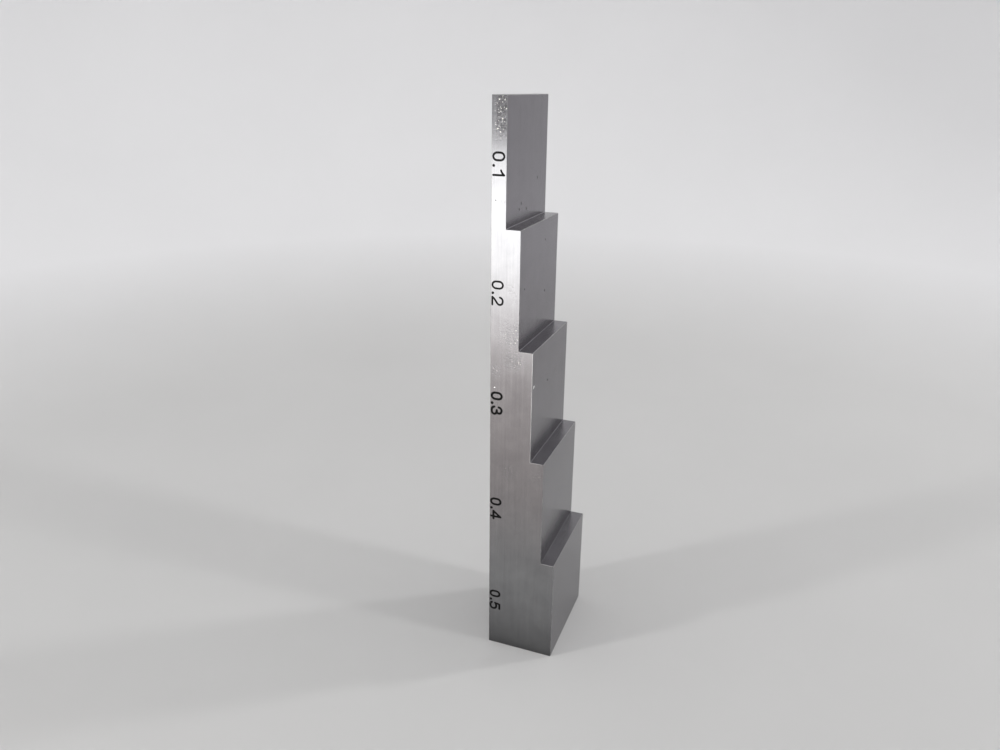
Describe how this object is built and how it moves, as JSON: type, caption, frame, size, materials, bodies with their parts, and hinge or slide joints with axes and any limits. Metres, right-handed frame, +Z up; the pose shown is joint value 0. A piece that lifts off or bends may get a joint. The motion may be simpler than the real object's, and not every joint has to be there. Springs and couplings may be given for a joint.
{
  "type": "step gauge block",
  "caption": "Ground steel thickness gauge bar, stepped on one face, with black-filled engraved inch numbers along one side. Stands on its thick end.",
  "frame": {"origin": "centre of the standing end, which is the bottom centre of the bounding box", "axes": "+Z up the bar from the thick end to the thin end, -X out of the flat datum face, +X out of the step faces, -Y out of the numbered side"},
  "size_m": [0.0126, 0.0204, 0.1016],
  "materials": {
    "ground_steel": "surface ground, fine lengthwise grain, semi-gloss, a few handling marks",
    "black_enamel": "matt black enamel filling an engraved character"
  },
  "bodies": {
    "root": {"gauge_block": "ground_steel", "mark_0.1_zero": "black_enamel", "mark_0.1_point": "black_enamel", "mark_0.1_one": "black_enamel", "mark_0.2_zero": "black_enamel", "mark_0.2_point": "black_enamel", "mark_0.2_two": "black_enamel", "mark_0.3_zero": "black_enamel", "mark_0.3_point": "black_enamel", "mark_0.3_three": "black_enamel", "mark_0.4_zero": "black_enamel", "mark_0.4_point": "black_enamel", "mark_0.4_four": "black_enamel", "mark_0.5_zero": "black_enamel", "mark_0.5_point": "black_enamel", "mark_0.5_five": "black_enamel"}
  },
  "joints": []
}
